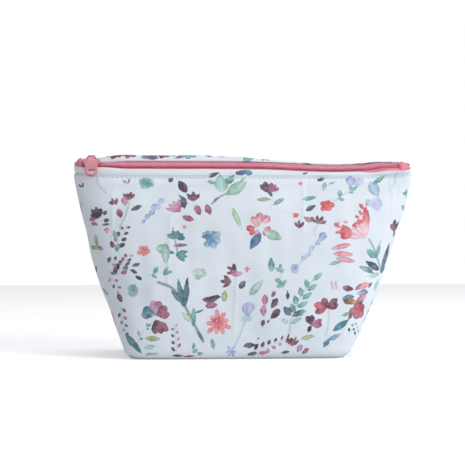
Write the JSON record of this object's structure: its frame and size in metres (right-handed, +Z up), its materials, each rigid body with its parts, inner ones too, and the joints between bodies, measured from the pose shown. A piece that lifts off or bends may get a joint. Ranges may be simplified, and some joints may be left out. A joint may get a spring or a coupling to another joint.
{
  "type": "makeup bag",
  "caption": "Padded cotton makeup bag with a boxed base, a floral print and a full-width coil zip whose slider and pull run along a mouth with lips that part.",
  "frame": {"origin": "on the ground under the middle of the bag", "axes": "+X along the zip from the slider's closed end to the far end, +Y from the front face to the back face, +Z up"},
  "size_m": [0.2144, 0.075, 0.1266],
  "materials": {
    "cotton_print": null,
    "lining": "plain white cotton",
    "wadding": "soft white polyester wadding",
    "thread": "white sewing thread",
    "zip_tape": "woven coral-pink polyester tape",
    "zip_coil": "coral-pink nylon coil, softly glossy",
    "enamel": "coral-pink enamel on die-cast metal, glossy"
  },
  "bodies": {
    "shell": {"outer_front_panel": "cotton_print", "outer_back_panel": "cotton_print", "front_wadding": "wadding", "back_wadding": "wadding", "front_lining": "lining", "back_lining": "lining", "front_topstitch": "thread", "rear_topstitch": "thread", "left_side_seam": "thread", "right_side_seam": "thread", "base_seam": "thread", "left_corner_seam": "thread", "right_corner_seam": "thread", "front_lip_left_end": "cotton_print", "front_lip_right_end": "cotton_print", "rear_lip_left_end": "cotton_print", "rear_lip_right_end": "cotton_print", "front_tape_left_end": "zip_tape", "front_tape_right_end": "zip_tape", "rear_tape_left_end": "zip_tape", "rear_tape_right_end": "zip_tape", "front_coil_left_end": "zip_coil", "front_coil_right_end": "zip_coil", "rear_coil_left_end": "zip_coil", "rear_coil_right_end": "zip_coil", "front_top_stop": "zip_coil", "rear_top_stop": "zip_coil", "bottom_stop": "zip_coil"},
    "front_lip": {"front_lip_cotton": "cotton_print", "front_zip_tape": "zip_tape", "front_coil": "zip_coil", "front_lip_lining": "lining"},
    "rear_lip": {"rear_lip_cotton": "cotton_print", "rear_zip_tape": "zip_tape", "rear_coil": "zip_coil", "rear_lip_lining": "lining"},
    "slider": {"slider_body": "enamel"},
    "pull": {"pull_tab": "enamel"}
  },
  "joints": [
    {"name": "front_lip_open", "type": "hinge", "parent": "shell", "child": "front_lip", "pos_m": [0, -0.008, 0.1137], "axis": [1, 0, 0], "range_deg": [0, 90]},
    {"name": "rear_lip_open", "type": "hinge", "parent": "shell", "child": "rear_lip", "pos_m": [0, 0.008, 0.1177], "axis": [-1, 0, 0], "range_deg": [0, 90]},
    {"name": "slider_slide", "type": "slide", "parent": "shell", "child": "slider", "axis": [1, 0, 0], "range_m": [0, 0.1906]},
    {"name": "pull_swing", "type": "hinge", "parent": "slider", "child": "pull", "pos_m": [-0.0965, -0.00326, 0.12485], "axis": [-1, 0, 0], "range_deg": [0, 195]}
  ]
}
